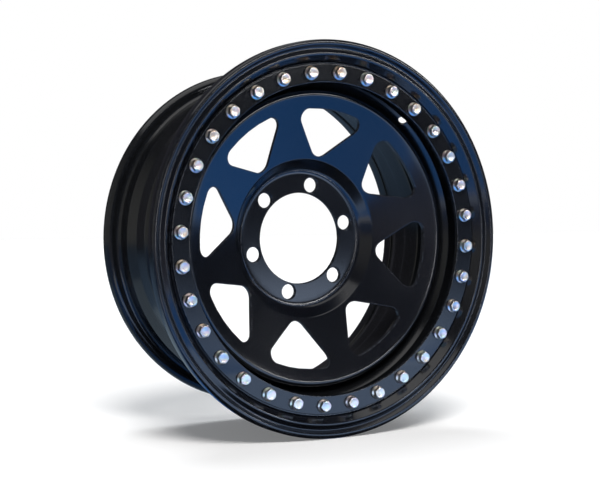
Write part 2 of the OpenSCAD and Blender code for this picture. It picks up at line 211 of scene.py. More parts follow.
def paint_film_group():
    """Node group for sprayed paint. Out come the paint's colour, which drifts a little over the surface,
    lightens to grey on sharp edges where a fine noise breaks through, partly as wear and partly as a
    painted highlight, and carries specks of dust, its roughness, which drifts with the colour, and a
    normal with a fine orange peel."""
    group = bpy.data.node_groups.new("paint_film", "ShaderNodeTree")
    sockets = group.interface
    for label in ("Paint", "Worn And Sheen"):
        sockets.new_socket(name=label, in_out="INPUT", socket_type="NodeSocketColor")
    for label in ("Edge Wear And Sheen", "Roughness", "Peel", "Dust"):
        sockets.new_socket(name=label, in_out="INPUT", socket_type="NodeSocketFloat")
    sockets.new_socket(name="Color", in_out="OUTPUT", socket_type="NodeSocketColor")
    sockets.new_socket(name="Roughness", in_out="OUTPUT", socket_type="NodeSocketFloat")
    sockets.new_socket(name="Normal", in_out="OUTPUT", socket_type="NodeSocketVector")
    new = group.nodes.new
    given = new("NodeGroupInput")
    result = new("NodeGroupOutput")
    place = new("ShaderNodeTexCoord")
    drift = new("ShaderNodeTexNoise")
    drift.inputs["Scale"].default_value = 9
    drift.inputs["Detail"].default_value = 3
    link(group, place.outputs["Object"], drift.inputs["Vector"])
    lighter = new("ShaderNodeMapRange")
    lighter.inputs["From Min"].default_value = 0.3
    lighter.inputs["From Max"].default_value = 0.7
    lighter.inputs["To Min"].default_value = 0.82
    lighter.inputs["To Max"].default_value = 1.22
    link(group, drift.outputs["Fac"], lighter.inputs["Value"])
    shade = new("ShaderNodeMix")
    shade.data_type = "RGBA"
    shade.blend_type = "MULTIPLY"
    shade.inputs["Factor"].default_value = 1
    link(group, given.outputs["Paint"], shade.inputs["A"])
    link(group, lighter.outputs["Result"], shade.inputs["B"])
    # The edge colour is partly wear and partly a painted highlight: sharp edges and hole walls turn a
    # lighter grey-blue where a fine noise breaks through.
    edge = new("ShaderNodeAttribute")
    edge.attribute_name = "wear_and_sheen"
    chips = new("ShaderNodeTexNoise")
    chips.inputs["Scale"].default_value = 260
    chips.inputs["Detail"].default_value = 5
    link(group, place.outputs["Object"], chips.inputs["Vector"])
    broken = new("ShaderNodeMapRange")
    broken.inputs["From Min"].default_value = 0.42
    broken.inputs["From Max"].default_value = 0.62
    link(group, chips.outputs["Fac"], broken.inputs["Value"])
    on_edge = new("ShaderNodeMath")
    on_edge.operation = "MULTIPLY"
    link(group, edge.outputs["Fac"], on_edge.inputs[0])
    link(group, broken.outputs["Result"], on_edge.inputs[1])
    wear_and_sheen = new("ShaderNodeMath")
    wear_and_sheen.operation = "MULTIPLY"
    link(group, on_edge.outputs[0], wear_and_sheen.inputs[0])
    link(group, given.outputs["Edge Wear And Sheen"], wear_and_sheen.inputs[1])
    worn_and_sheen = new("ShaderNodeMix")
    worn_and_sheen.data_type = "RGBA"
    link(group, wear_and_sheen.outputs[0], worn_and_sheen.inputs["Factor"])
    link(group, shade.outputs["Result"], worn_and_sheen.inputs["A"])
    link(group, given.outputs["Worn And Sheen"], worn_and_sheen.inputs["B"])
    specks = new("ShaderNodeTexVoronoi")
    specks.inputs["Scale"].default_value = 420
    link(group, place.outputs["Object"], specks.inputs["Vector"])
    speck = new("ShaderNodeMapRange")
    speck.inputs["From Min"].default_value = 0.16
    speck.inputs["From Max"].default_value = 0.06
    link(group, specks.outputs["Distance"], speck.inputs["Value"])
    dust = new("ShaderNodeMath")
    dust.operation = "MULTIPLY"
    link(group, speck.outputs["Result"], dust.inputs[0])
    link(group, given.outputs["Dust"], dust.inputs[1])
    dusty = new("ShaderNodeMix")
    dusty.data_type = "RGBA"
    dusty.inputs["B"].default_value = (0.16, 0.16, 0.17, 1)
    link(group, dust.outputs[0], dusty.inputs["Factor"])
    link(group, worn_and_sheen.outputs["Result"], dusty.inputs["A"])
    link(group, dusty.outputs["Result"], result.inputs["Color"])
    rough = new("ShaderNodeMath")
    rough.operation = "MULTIPLY_ADD"
    rough.inputs[1].default_value = 0.12
    link(group, drift.outputs["Fac"], rough.inputs[0])
    base_rough = new("ShaderNodeMath")
    base_rough.operation = "SUBTRACT"
    base_rough.inputs[1].default_value = 0.06
    link(group, given.outputs["Roughness"], base_rough.inputs[0])
    link(group, base_rough.outputs[0], rough.inputs[2])
    link(group, rough.outputs[0], result.inputs["Roughness"])
    peel = new("ShaderNodeTexNoise")
    peel.inputs["Scale"].default_value = 420
    peel.inputs["Detail"].default_value = 2
    link(group, place.outputs["Object"], peel.inputs["Vector"])
    bump = new("ShaderNodeBump")
    bump.inputs["Distance"].default_value = 0.00005
    link(group, given.outputs["Peel"], bump.inputs["Strength"])
    link(group, peel.outputs["Fac"], bump.inputs["Height"])
    link(group, bump.outputs["Normal"], result.inputs["Normal"])
    return group


paint_film = paint_film_group()


def paint(name, colour, roughness, coat, edge_wear_and_sheen=0.3, worn_and_sheen=(0.07, 0.08, 0.10), peel=0.08, dust=0.06):
    """Sprayed paint: the film group feeds the colour, roughness and normal of one shader, and a thin
    clear coat lies over it."""
    material = bpy.data.materials.new(name)
    material.use_nodes = True
    tree = material.node_tree
    shader = tree.nodes["Principled BSDF"]
    film = tree.nodes.new("ShaderNodeGroup")
    film.node_tree = paint_film
    film.inputs["Paint"].default_value = (*colour, 1)
    film.inputs["Worn And Sheen"].default_value = (*worn_and_sheen, 1)
    film.inputs["Edge Wear And Sheen"].default_value = edge_wear_and_sheen
    film.inputs["Roughness"].default_value = roughness
    film.inputs["Peel"].default_value = peel
    film.inputs["Dust"].default_value = dust
    link(tree, film.outputs["Color"], shader.inputs["Base Color"])
    link(tree, film.outputs["Roughness"], shader.inputs["Roughness"])
    link(tree, film.outputs["Normal"], shader.inputs["Normal"])
    shader.inputs["Coat Weight"].default_value = coat
    shader.inputs["Coat Roughness"].default_value = 0.12
    return material


rim_line = np.concatenate([
    arc(CURL_CENTRE, CURL_R, -CURL_END, math.pi / 2),
    bent([
        (CURL_CENTRE[0] - 1, REAR_FACE, 0),
        (BEAD_R, REAR_FACE, RIM_BEND),
        (SEAT_LOW_R, REAR_TOE, TOE_BEND),
        (HUMP_R, REAR_TOE + REAR_HUMP_W, RIM_T + TIGHT_BEND),
        (SHELF_R, SHELF_START, RIM_BEND),
        (SHELF_R - SHELF_FALL, SHELF_END, RIM_BEND),
        (WELL_R, WELL_START, RIM_BEND),
        (WELL_R, WELL_END, RIM_BEND),
        (LAND_R, LAND_START, RIM_BEND),
        (LAND_R, LAND_END, RIM_BEND),
        (HUMP_R, FRONT_TOE - FRONT_HUMP_W, RIM_T + TIGHT_BEND),
        (SEAT_LOW_R, FRONT_TOE, TOE_BEND),
        (BEAD_R, FRONT_FACE, 0),
    ]),
])
rim_outline = sheet(rim_line, -RIM_T, CURL_EDGE, BUTT_EDGE)
rim_outline[:, 1] = np.minimum(rim_outline[:, 1], FRONT_FACE)
barrel = make("painted_barrel", [spin(rim_outline)])

VALVE_CLOCK = 40
VALVE_R = 5.75
VALVE_TILT = math.radians(22)
VALVE_SINK = 2.4
VALVE_BACK = 2.6
DRILL_SIDES = 64
DRILL_LENGTH = 17


def drill(piece, place, axis, radius, length):
    """Cuts a round hole: a closed cylinder with its middle at the place and its length along the axis is
    taken away from the piece's mesh. Each end is the circle radius (side cos turn + up sin turn)."""
    side = np.cross(axis, (0.0, 1.0, 0.0))
    side = side / np.linalg.norm(side)
    up = np.cross(axis, side)
    i = np.arange(DRILL_SIDES)
    turn = i[:, None] * math.tau / DRILL_SIDES
    ring = radius * (np.cos(turn) * side + np.sin(turn) * up)
    ends = np.concatenate([place + ring - axis * length / 2, place + ring + axis * length / 2])
    n = (i + 1) % DRILL_SIDES
    walls = np.stack([i, n, n + DRILL_SIDES, i + DRILL_SIDES], 1).tolist()
    mesh = bpy.data.meshes.new("drill")
    mesh.from_pydata(ends.tolist(), [], walls + [i[::-1].tolist(), (i + DRILL_SIDES).tolist()])
    bit = bpy.data.objects.new("drill", mesh)
    bpy.context.scene.collection.objects.link(bit)
    cut = piece.modifiers.new("hole", "BOOLEAN")
    cut.operation = "DIFFERENCE"
    cut.solver = "EXACT"
    cut.object = bit
    bpy.context.view_layer.update()
    drilled = bpy.data.meshes.new_from_object(piece.evaluated_get(bpy.context.evaluated_depsgraph_get()))
    piece.modifiers.clear()
    piece.data = drilled
    bpy.data.objects.remove(bit)
    drilled.set_sharp_from_angle(angle=math.radians(CREASE))


valve_turn = math.radians(90 - VALVE_CLOCK)
valve_r = HUMP_R - VALVE_SINK
valve_z = FRONT_TOE - FRONT_HUMP_W - VALVE_BACK
valve_place = np.array([valve_r * math.cos(valve_turn), -valve_z, valve_r * math.sin(valve_turn)]) * MM
valve_axis = np.array([
    math.cos(VALVE_TILT) * math.cos(valve_turn),
    math.sin(VALVE_TILT),
    math.cos(VALVE_TILT) * math.sin(valve_turn),
])
drill(barrel, valve_place, valve_axis, VALVE_R * MM, DRILL_LENGTH * MM)
barrel.data.materials.append(paint("barrel_paint", (0.004, 0.0043, 0.005), 0.20, 0.3, peel=0.03))
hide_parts("rim_barrel")
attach(barrel, "root")

# Centre disc
# The pressed disc that bolts to the hub: 5 mm steel plate, drawn to a hub pad, a steep cup, a wide bowl
# and a rolled shoulder, with eight windows punched in the bowl and six stud holes in the pad. Its skirt
# is pressed into the rim and welded there.
DISC_T = 5
BORE_R = 58
BORE_BEVEL = 0.8
BORE_EDGE = 0.3
PAD_R = 87
PAD_BEND = 12
PAD_FLAT_R = 81.5
PAD_BEAD_AT = 86.1
PAD_BEAD_R = 1.1
PAD_BEAD_Z = DISC_T + 0.5
CUP_R = PAD_R + 13.6
CUP_Z = DISC_T + 16.5
CUP_EDGE_FALL = 0.8
SKIRT_R = LAND_R - RIM_T - 0.2
BOWL_RISE = 36.3
BOWL_MID_R = CUP_R + 0.614 * (SKIRT_R - CUP_R)
BOWL_MID_Z = CUP_Z + 0.592 * BOWL_RISE
BOWL_BEND = 200
SHOULDER_R = 172
SKIRT_EDGE = 0.5
STUD_COUNT = 6
STUD_CIRCLE_R = 69.85
STUD_R = 9.4
STUD_CLOCK = 13.55
NUT_SEAT_W = 1
NUT_CONE = math.radians(30)
WINDOW_COUNT = 8
WINDOW_CLOCK = 8.5
WINDOW_IN_R = 105.5
WINDOW_OUT_R = SKIRT_R - 21
WINDOW_HALF = math.radians(18.8)
WINDOW_TIP_R = 14
WINDOW_CORNER_R = 11
WINDOW_BOW = 11.3
WINDOW_BOW_SHARE = 0.98
WINDOW_POINTS = 720
WINDOW_LOW_R = 103.4
WINDOW_HIGH_R = 166
PUNCH_ROLL = 0.7

disc_front = bent([
    (BORE_R, DISC_T, 0),
    (PAD_R, DISC_T, PAD_BEND),
    (CUP_R, CUP_Z - CUP_EDGE_FALL, DISC_T + 1),
    (BOWL_MID_R, BOWL_MID_Z, BOWL_BEND),
    (SKIRT_R, CUP_Z + BOWL_RISE, DISC_T + TIGHT_BEND),
    (SKIRT_R, SKIRT_END, 0),
])
disc_rear = moved(disc_front, DISC_T)


def front_of(r):
    """Height of the disc's front at radius r, along its outline, with the fine bead round the hub pad:
    the higher of the sheet and a circle whose middle lies just below the sheet, at its own height
    plus the root of radius squared less distance squared."""
    aside = r - PAD_BEAD_AT
    bead = PAD_BEAD_Z + np.sqrt(np.maximum(PAD_BEAD_R**2 - aside**2, 0))
    rising = disc_front[:, 0] < SKIRT_R - 0.01
    sheet_z = np.interp(r, disc_front[rising, 0], disc_front[rising, 1])
    return np.where(np.abs(aside) < PAD_BEAD_R, np.maximum(sheet_z, bead), sheet_z)


def rear_of(r):
    """Height of the disc's rear at radius r, along the moved outline."""
    rising = disc_rear[:, 0] < SKIRT_R - DISC_T - 0.01
    return np.interp(r, disc_rear[rising, 0], disc_rear[rising, 1])


def holed(middle, count, low_r, high_r, outline, front, rear, into_front, into_rear, sides, loops=7):
    """A sector of a sheet, one of count round the wheel, with one hole. The sector is the polar rectangle
    from low_r to high_r. The hole is the outline (x outwards, y across), one point for each point round
    the sector, on the line from the hole's centre to it. Loops of points run from the hole to the
    sector's edge, at the shares (k / loops) to the power 1.3 of that line, and down the wall of the
    hole along the stations (outward offset, depth) of each face."""
    half = math.pi / count
    arcs = SPIN_STEPS // count
    across = np.linspace(-half, half, arcs + 1)[:-1]
    outward = np.linspace(low_r, high_r, sides + 1)[:-1]
    inward = outward[::-1] + outward[1] - low_r
    rim_r = np.concatenate([np.full(arcs, low_r), outward, np.full(arcs, high_r), inward])
    rim_a = np.concatenate([across, np.full(sides, half), -across, np.full(sides, -half)])
    rim = np.stack([rim_r * np.cos(rim_a), rim_r * np.sin(rim_a)], 1)
    centre = outline.mean(0)
    look = np.arctan2(*(rim - centre).T[::-1])
    seen = np.arctan2(*(outline - centre).T[::-1])
    order = np.argsort(seen)
    reach = np.interp(look, seen[order], np.linalg.norm(outline - centre, axis=1)[order], period=math.tau)
    hole = centre + reach[:, None] * np.stack([np.cos(look), np.sin(look)], 1)
    along = np.roll(hole, -1, 0) - np.roll(hole, 1, 0)
    out = np.stack([along[:, 1], -along[:, 0]], 1) / np.linalg.norm(along, axis=1)[:, None]
    out = out * np.sign((out * (hole - centre)).sum(1).mean())
    levels = []
    spread = np.linspace(0, 1, loops + 1)[1:, None, None] ** 1.3
    for face, stations, sign in ((front, into_front, -1), (rear, into_rear, 1)):
        flat = hole + out * stations[0][0]
        field = flat + (rim - flat) * spread
        rows = []
        for xy in field[::-1]:
            r = np.hypot(*xy.T)
            rows.append(np.stack([r, np.arctan2(xy[:, 1], xy[:, 0]), face(r), np.zeros(len(r))], 1))
        for offset, depth in stations:
            xy = hole + out * offset
            r = np.hypot(*xy.T)
            # Hole walls and the rolled punched edge get the most edge lightening, partly wear and partly a
            # painted highlight.
            worn_and_sheen = np.full(len(r), 1.0 if offset < 0.9 * PUNCH_ROLL or depth > 0 else 0.4)
            rows.append(np.stack([r, np.arctan2(xy[:, 1], xy[:, 0]), face(r) + sign * depth, worn_and_sheen], 1))
        levels += rows if sign < 0 else rows[::-1]
    points = np.stack(levels)
    points[..., 1] += middle
    width = points.shape[1]
    i = np.arange(len(levels) - 1)[:, None]
    j = np.arange(width)
    n = (j + 1) % width
    faces = np.stack([i * width + j, i * width + n, (i + 1) * width + n, (i + 1) * width + j], -1)
    return points.reshape(-1, 4), faces.reshape(-1, 4)


def window_outline():
    """Outline of a window about its own middle line: a rounded triangle with its point inwards and its
    outer side bowed out. Both slanted sides run from an outer corner and touch the circle that rounds
    the point, and the bow is an arc over what the two rounded corners leave of the outer side."""
    corner = np.array([WINDOW_OUT_R * math.cos(WINDOW_HALF), WINDOW_OUT_R * math.sin(WINDOW_HALF)])
    reach = corner - (WINDOW_IN_R + WINDOW_TIP_R, 0)
    slant = math.atan2(reach[1], reach[0]) - math.asin(WINDOW_TIP_R / np.linalg.norm(reach))
    tip = np.array([corner[0] - corner[1] / math.tan(slant), 0])
    middle = corner * (1, 0) + (WINDOW_BOW, 0)
    inward = (tip - corner) / np.linalg.norm(tip - corner)
    side = np.linalg.norm(middle - corner)
    half = math.acos(float(inward @ (middle - corner)) / side) / 2
    bow_r = WINDOW_BOW_SHARE * (side - WINDOW_CORNER_R / math.tan(half)) * corner[1] / WINDOW_BOW
    corners = [
        (tip[0], 0, WINDOW_TIP_R),
        (corner[0], -corner[1], WINDOW_CORNER_R),
        (middle[0], 0, bow_r),
        (corner[0], corner[1], WINDOW_CORNER_R),
    ]
    rounded = bent([corners[-1], *corners, corners[0]])[1:-1]
    turning = np.concatenate([rounded, rounded[:1]])
    length = np.concatenate([[0], np.cumsum(np.linalg.norm(np.diff(turning, axis=0), axis=1))])
    even = np.linspace(0, length[-1], WINDOW_POINTS + 1)[:-1]
    return np.stack([np.interp(even, length, turning[:, k]) for k in (0, 1)], 1)


def round_outline(circle_r, hole_r):
    """Outline of a round hole whose centre stands circle_r out from the axis: (circle_r + hole_r cos
    turn, hole_r sin turn), a point each degree."""
    turn = np.arange(360) * math.tau / 360
    return np.stack([circle_r + hole_r * np.cos(turn), hole_r * np.sin(turn)], 1)


roll = np.radians(np.linspace(0, 90, 5))
punched = list(zip(PUNCH_ROLL * (1 - np.sin(roll)), PUNCH_ROLL * (1 - np.cos(roll))))
burr = [(0.25, 0), (0.07, 0.07), (0, 0.25)]
seat_drop = NUT_SEAT_W / math.tan(NUT_CONE)
nut_seat = [
    (NUT_SEAT_W + 0.3, 0),
    (NUT_SEAT_W + 0.2, 0),
    (NUT_SEAT_W, 0.12),
    (0.05, seat_drop),
    (0, seat_drop + 0.15),
]
window_pitch = 360 / WINDOW_COUNT
stud_pitch = 360 / STUD_COUNT
window_phase = math.radians(90 - WINDOW_CLOCK - window_pitch / 2)
stud_phase = math.radians(90 - STUD_CLOCK - stud_pitch / 2)
shells = []
for k in range(WINDOW_COUNT):
    middle = math.radians(90 - WINDOW_CLOCK + window_pitch * k)
    shells.append(holed(middle, WINDOW_COUNT, WINDOW_LOW_R, WINDOW_HIGH_R, window_outline(),
                        front_of, rear_of, punched, burr, sides=14))
for k in range(STUD_COUNT):
    middle = math.radians(90 - STUD_CLOCK + stud_pitch * k)
    shells.append(holed(middle, STUD_COUNT, BORE_R + BORE_BEVEL, PAD_FLAT_R,
                        round_outline(STUD_CIRCLE_R, STUD_R),
                        front_of, rear_of, nut_seat, burr, sides=8, loops=3))
shells.append(spin(np.array([
    (BORE_R + BORE_BEVEL, DISC_T),
    (BORE_R + 0.06, DISC_T - 0.74),
    (BORE_R, DISC_T - BORE_BEVEL - 0.1),
    (BORE_R, BORE_EDGE),
    (BORE_R + BORE_EDGE, 0),
    (BORE_R + BORE_BEVEL, 0),
], float), closed=False, phase=stud_phase))

# Between the stud sectors and the window sectors, whose points stand at different angles, both faces of
# the cup are spun. The radii stand close together over the bead.
step = math.tau / SPIN_STEPS
shift = round((window_phase - stud_phase) / step) * step
cup_wall_r = np.linspace(99.5, WINDOW_LOW_R, 8)
cup_front_r = np.concatenate([[PAD_FLAT_R], np.linspace(82.5, 84.9, 3), np.linspace(84.95, 87.4, 22),
                              np.linspace(88, 99, 12), cup_wall_r])
cup_rear_r = np.concatenate([[PAD_FLAT_R], np.linspace(82.5, 99, 14), cup_wall_r])
for cup_r, height in ((cup_front_r, front_of), (cup_rear_r, rear_of)):
    cup_phase = np.where(cup_r < PAD_FLAT_R + 0.1, stud_phase, window_phase - shift)
    shells.append(spin(np.stack([cup_r, height(cup_r)], 1), closed=False, phase=cup_phase))
outer_r = np.linspace(WINDOW_HIGH_R, SHOULDER_R, 5)
front_tail = disc_front[disc_front[:, 0] > SHOULDER_R]
rear_tail = disc_rear[len(disc_front) - len(front_tail):]
shells.append(spin(np.concatenate([
    np.stack([outer_r, front_of(outer_r)], 1),
    front_tail[:-1],
    cap(front_tail, rear_tail, SKIRT_EDGE),
    rear_tail[-2::-1],
    np.stack([outer_r, rear_of(outer_r)], 1)[::-1],
]), closed=False, phase=window_phase))
disc = make("pressed_disc", shells)
disc.data.materials.append(paint("disc_paint", (0.0035, 0.004, 0.006), 0.18, 0.3))
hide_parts("centre_disc")
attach(disc, "root")

# Disc weld
# Eight runs of weld behind the disc that join the end of its skirt to the rim, laid by machine in a
# row of overlapping ripples and painted over with the wheel.
WELD_RUN = 26
WELD_LEG = 4.5
WELD_RIPPLES = 34
RIPPLE_STEPS = 8
WELD_CREASE = 60


def weld_bead(start, run, corner, toe, top, ripples, swell):
    """Weld run in a corner, of so many degrees. Its face bulges by half a sine wave over the line from
    the toe on one part to the top on the other, and swells along the run by 1 less the 0.7th power of
    a sine, which gives sharp crests where the weld pool froze in steps. A run that isn't a whole turn
    thins to nothing over its first and last two ripples."""
    count = ripples * RIPPLE_STEPS + 1
    along = np.linspace(0, 1, count)[:, None]
    face = np.linspace(0, 1, 9)
    wave = 1 - np.abs(np.sin(along * ripples * math.pi)) ** 0.7
    closed_run = run == 360
    full = np.clip(np.minimum(along, 1 - along) * ripples * 0.6 + closed_run, 0, 1) ** 0.5
    bulge = np.sin(face * math.pi) * (0.35 + swell * wave)
    straight = [toe[k] + (top[k] - toe[k]) * face for k in (0, 1)]
    away = np.array([toe[0] + top[0] - 2 * corner[0], toe[1] + top[1] - 2 * corner[1]])
    away = away / np.linalg.norm(away)
    r = corner[0] + (straight[0] + away[0] * bulge - corner[0]) * full
    z = corner[1] + (straight[1] + away[1] * bulge - corner[1]) * full
    r = np.concatenate([r, np.full((count, 1), corner[0])], 1)
    z = np.concatenate([z, np.full((count, 1), corner[1])], 1)
    turn = start + math.radians(run) * along * np.ones(r.shape[1])
    points = np.stack([r, turn, z, np.full(r.shape, 0.2)], -1)
    if closed_run:
        points = points[:-1]
    rows, width = points.shape[:2]
    i = np.arange(rows if closed_run else rows - 1)[:, None]
    m = (i + 1) % rows
    j = np.arange(width)
    n = (j + 1) % width
    faces = np.stack([i * width + j, i * width + n, m * width + n, m * width + j], -1)
    return points.reshape(-1, 4), faces.reshape(-1, 4)


runs = []
for k in range(WINDOW_COUNT):
    between = math.radians(90 - WINDOW_CLOCK + window_pitch * (k + 0.5) - WELD_RUN / 2)
    runs.append(weld_bead(between, WELD_RUN, corner=(SKIRT_R, SKIRT_END),
                          toe=(SKIRT_R, SKIRT_END - WELD_LEG), top=(SKIRT_R - WELD_LEG, SKIRT_END),
                          ripples=WELD_RIPPLES, swell=0.3))
skirt_weld = make("skirt_weld_runs", runs, crease=WELD_CREASE)
weld_paint = paint("weld_paint", (0.012, 0.012, 0.014), 0.45, 0.2, edge_wear_and_sheen=0.5, peel=0.6, dust=0.15)
skirt_weld.data.materials.append(weld_paint)
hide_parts("disc_weld")
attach(skirt_weld, "root")

# Front ring
# The wheel's front flange, formed from 3 mm sheet: a flat land, a slope, a crest, a groove and an outer
# roll whose edge is turned back. It is welded to the rim's front end and painted with it.
LIP_T = 3
LAND_Z = FRONT_FACE + LIP_T
LAND_REAR_Z = LAND_Z - LIP_T
PLATE_T = 3
PLATE_Z = LAND_Z + PLATE_T
PLATE_IN_R = 193.1
PLATE_OUT_R = 216
PLATE_MARGIN = 1.6
SLOPE_BEND = 1.2
CREST_R = 227.3
CREST_Z = PLATE_Z + 7.6
CREST_IN = 0.4
CREST_OUT = 1.2
GROOVE_W = 7.2
GROOVE_DROP = 2.4
GROOVE_BEND = 2.2
ROLL_Z = PLATE_Z + 11.2
ROLL_BACK = 14
LIP_R = 244.5
INNER_EDGE = 0.3
ROLL_EDGE = 0.6
BOLT_COUNT = 32
BOLT_CIRCLE_R = 205.1
BOLT_CLOCK = 3.05
BOLT_PITCH = 360 / BOLT_COUNT
THREAD_HOLE_R = 4.2
THREAD_DEPTH = 2.1
BOLT_LAND_LOW_R = PLATE_IN_R + 0.8
BOLT_LAND_HIGH_R = PLATE_OUT_R - 0.4

ring_line = bent([
    (PLATE_IN_R, LAND_Z, 0),
    (PLATE_OUT_R + PLATE_MARGIN, LAND_Z, SLOPE_BEND),
    (CREST_R - CREST_IN, CREST_Z + CREST_OUT, LIP_T + TIGHT_BEND),
    (CREST_R + GROOVE_W, CREST_Z - GROOVE_DROP, GROOVE_BEND),
    (LIP_R - 2 * LIP_T, ROLL_Z, LIP_T + TIGHT_BEND),
    (LIP_R, ROLL_Z, LIP_T + TIGHT_BEND),
    (LIP_R, ROLL_Z - ROLL_BACK, 0),
])
ring_outline = sheet(ring_line, LIP_T, INNER_EDGE, ROLL_EDGE)


def level(z):
    """A flat face: the same height z at every radius."""
    return lambda r: np.full(len(r), float(z))


# The bolt holes are blind. The floor of each runs in to 0.1 mm from its middle, and the land's rear face
# meets it there.
bolt_phase = math.radians(90 - BOLT_CLOCK - BOLT_PITCH / 2)
hole_floor = 0.1 - THREAD_HOLE_R
into_land = [(0.1, 0), (0, 0.1), (0, THREAD_DEPTH), (hole_floor, THREAD_DEPTH)]
ring_shells = []
for k in range(BOLT_COUNT):
    middle = math.radians(90 - BOLT_CLOCK + BOLT_PITCH * k)
    ring_shells.append(holed(middle, BOLT_COUNT, BOLT_LAND_LOW_R, BOLT_LAND_HIGH_R,
                             round_outline(BOLT_CIRCLE_R, THREAD_HOLE_R),
                             level(LAND_Z), level(LAND_REAR_Z), into_land, [(hole_floor, 0)], sides=6))

# The rest of the ring's section: outwards over the slope and the roll and back behind the land, and
# then the rounded edge inside the bolt sectors.
around = np.roll(ring_outline, -np.argmax(ring_outline[:, 0] > BOLT_LAND_HIGH_R), 0)
back_inside = (np.abs(around[:, 1] - LAND_REAR_Z) < 1e-6) & (around[:, 0] < BOLT_LAND_HIGH_R)
outer_part = np.concatenate([
    [(BOLT_LAND_HIGH_R, LAND_Z)],
    around[:np.argmax(back_inside)],
    [(BOLT_LAND_HIGH_R, LAND_REAR_Z)],
])
inner_part = np.concatenate([
    [(BOLT_LAND_LOW_R, LAND_Z)],
    cap(np.array([(BOLT_LAND_LOW_R + 1, LAND_Z), (PLATE_IN_R, LAND_Z)]),
        np.array([(BOLT_LAND_LOW_R + 1, LAND_REAR_Z), (PLATE_IN_R, LAND_REAR_Z)]), INNER_EDGE),
    [(BOLT_LAND_LOW_R, LAND_REAR_Z)],
])
ring_shells.append(spin(outer_part, closed=False, phase=bolt_phase))
ring_shells.append(spin(inner_part, closed=False, phase=bolt_phase))
front_ring = make("formed_front_ring", ring_shells)
front_ring.data.materials.append(paint("ring_paint", (0.003, 0.0033, 0.005), 0.20, 0.4))
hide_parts("front_ring")
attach(front_ring, "root")

# Ring weld
# One run of weld all the way round that joins the back of the front ring to the inside of the rim's
# front end. It is laid by machine while the wheel turns, and painted over with it.
RING_WELD_LEG = 3.9
RING_WELD_RIPPLES = 420

ring_weld_r = BEAD_R - RIM_T / math.cos(SEAT_TAPER) - 0.2
round_run = weld_bead(0, 360, corner=(ring_weld_r, FRONT_FACE),
                      toe=(ring_weld_r - 0.35, FRONT_FACE - RING_WELD_LEG),
                      top=(ring_weld_r - RING_WELD_LEG, FRONT_FACE),
                      ripples=RING_WELD_RIPPLES, swell=0.25)
behind_ring = make("ring_weld_run", [round_run], crease=WELD_CREASE)
behind_ring.data.materials.append(weld_paint)
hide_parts("ring_weld")
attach(behind_ring, "root")

# Ring plate
# The flat 3 mm steel ring that makes the wheel look like a beadlock, with a bolt hole every 11.25
# degrees and a small bevel round both edges. It lies on the land of the front ring.
PLATE_BEVEL = 0.6
PLATE_REAR_EDGE = 0.1
PLATE_HOLE_R = 4.4

plate_shells = []
for k in range(BOLT_COUNT):
    middle = math.radians(90 - BOLT_CLOCK + BOLT_PITCH * k)
    plate_shells.append(holed(middle, BOLT_COUNT, PLATE_IN_R + 1, PLATE_OUT_R - 1,
                              round_outline(BOLT_CIRCLE_R, PLATE_HOLE_R),
                              level(PLATE_Z), level(LAND_Z),
                              [(0.2, 0), (0, 0.2)], [(0.1, 0), (0, 0.1)], sides=6))
for edge_r, inward in ((PLATE_IN_R, 1), (PLATE_OUT_R, -1)):
    plate_shells.append(spin(np.array([
        (edge_r + inward, PLATE_Z),
        (edge_r + inward * (PLATE_BEVEL + 0.12), PLATE_Z),
        (edge_r + inward * (PLATE_BEVEL - 0.08), PLATE_Z - 0.06),
        (edge_r + inward * 0.06, PLATE_Z - PLATE_BEVEL + 0.08),
        (edge_r, PLATE_Z - PLATE_BEVEL - 0.12),
        (edge_r, LAND_Z + PLATE_REAR_EDGE),
        (edge_r + inward * PLATE_REAR_EDGE, LAND_Z),
        (edge_r + inward, LAND_Z),
    ], float), closed=False, phase=bolt_phase))
plate = make("bolted_ring_plate", plate_shells, crease=50)
# The plate's bevels get stronger edge lightening: partly wear, partly a painted highlight on the edges.
plate.data.materials.append(paint("plate_paint", (0.004, 0.0045, 0.006), 0.17, 0.3, edge_wear_and_sheen=0.5))
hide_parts("ring_plate")
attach(plate, "root")

# Ring bolts
# Thirty-two M8 hexagon bolts with a flange under the head, in bright zinc plate with a faint rainbow
# tint. They clamp nothing on a simulated beadlock: each is screwed into a blind hole in the front ring.
HEX_HALF = 6.5
HEAD_H = 7.6
BOLT_FLANGE_R = 8.75
BOLT_FLANGE_T = 1.5
CROWN_R = 0.95 * HEX_HALF
SHANK_R = 4
DISH_R = 4.6
HEX_STEP = 23
BOLT_SIDES = 60


def hexagon_r(turn, half, corner):
    """Distance from the middle to a hexagon's side at each angle, with the corners rounded off: the
    smaller of the flat's distance and a circle just inside the corners."""
    return np.minimum(half / np.cos((turn + math.pi / 6) % (math.pi / 3) - math.pi / 6), corner)


